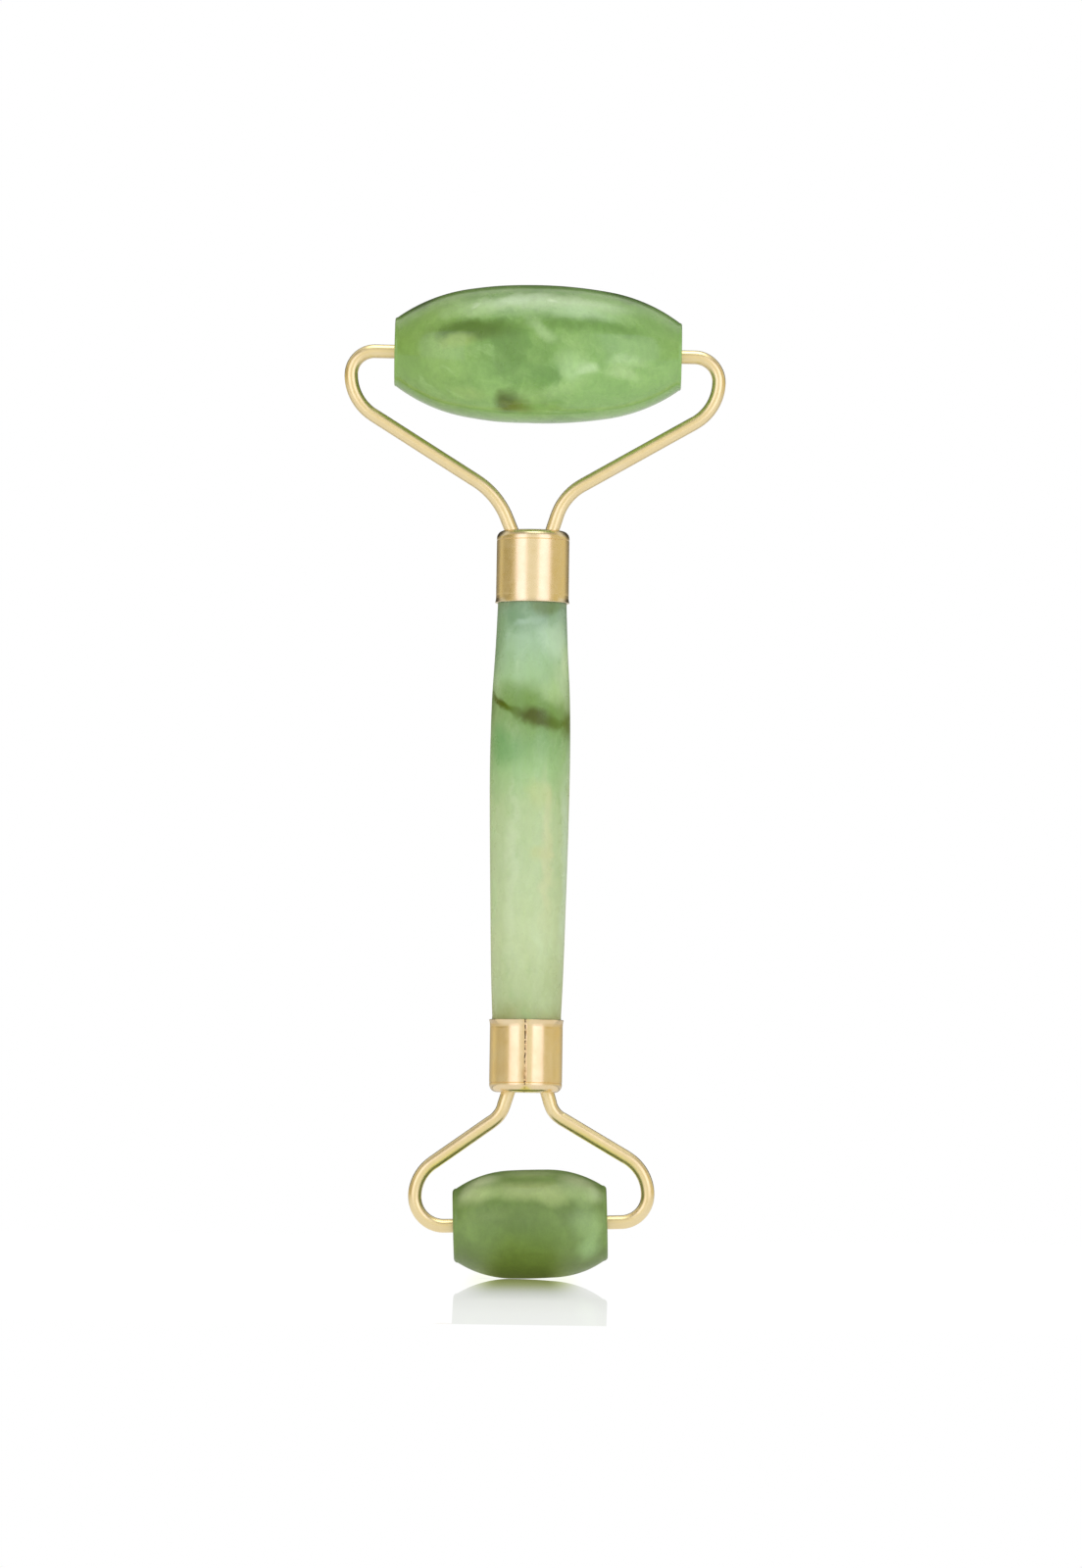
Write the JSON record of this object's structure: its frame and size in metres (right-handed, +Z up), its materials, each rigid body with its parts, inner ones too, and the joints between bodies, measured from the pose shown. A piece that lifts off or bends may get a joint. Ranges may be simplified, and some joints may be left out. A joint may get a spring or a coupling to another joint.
{
  "type": "face roller",
  "caption": "Double-ended jade face roller: a round jade handle in gold-coloured ferrules, with a large and a small jade barrel spinning on bent wire yokes.",
  "frame": {"origin": "on the floor under the small roller, on the handle's axis, with the roller standing upright as it is shown", "axes": "+Z up the handle's axis from the small roller to the large one; X runs along the rollers' axes; -Y faces the viewer"},
  "size_m": [0.0557, 0.0202, 0.1452],
  "materials": {
    "pale_jade": "gloss",
    "polished_jade": "gloss",
    "satin_jade": "satin",
    "gold_plated_brass": "gloss",
    "gold_plated_wire": "gloss",
    "epoxy": "gloss",
    "bush_plastic": "satin"
  },
  "bodies": {
    "handle": {"handle_stone": "pale_jade", "upper_ferrule_sleeve": "gold_plated_brass", "upper_ferrule_end_cap": "gold_plated_brass", "lower_ferrule_sleeve": "gold_plated_brass", "lower_ferrule_end_cap": "gold_plated_brass", "large_yoke_wire": "gold_plated_wire", "small_yoke_wire": "gold_plated_wire", "upper_adhesive_plug": "epoxy", "lower_adhesive_plug": "epoxy"},
    "large_roller": {"large_roller_stone": "polished_jade", "large_roller_left_bush": "bush_plastic", "large_roller_right_bush": "bush_plastic"},
    "small_roller": {"small_roller_stone": "satin_jade", "small_roller_left_bush": "bush_plastic", "small_roller_right_bush": "bush_plastic"}
  },
  "joints": [
    {"name": "large_roller_spin", "type": "hinge", "parent": "handle", "child": "large_roller", "pos_m": [0.00035, 0, 0.13505], "axis": [1, 0, -0.0052], "continuous": true},
    {"name": "small_roller_spin", "type": "hinge", "parent": "handle", "child": "small_roller", "pos_m": [0.00095, 0, 0.00798], "axis": [0.9994, 0, 0.0349], "continuous": true}
  ]
}
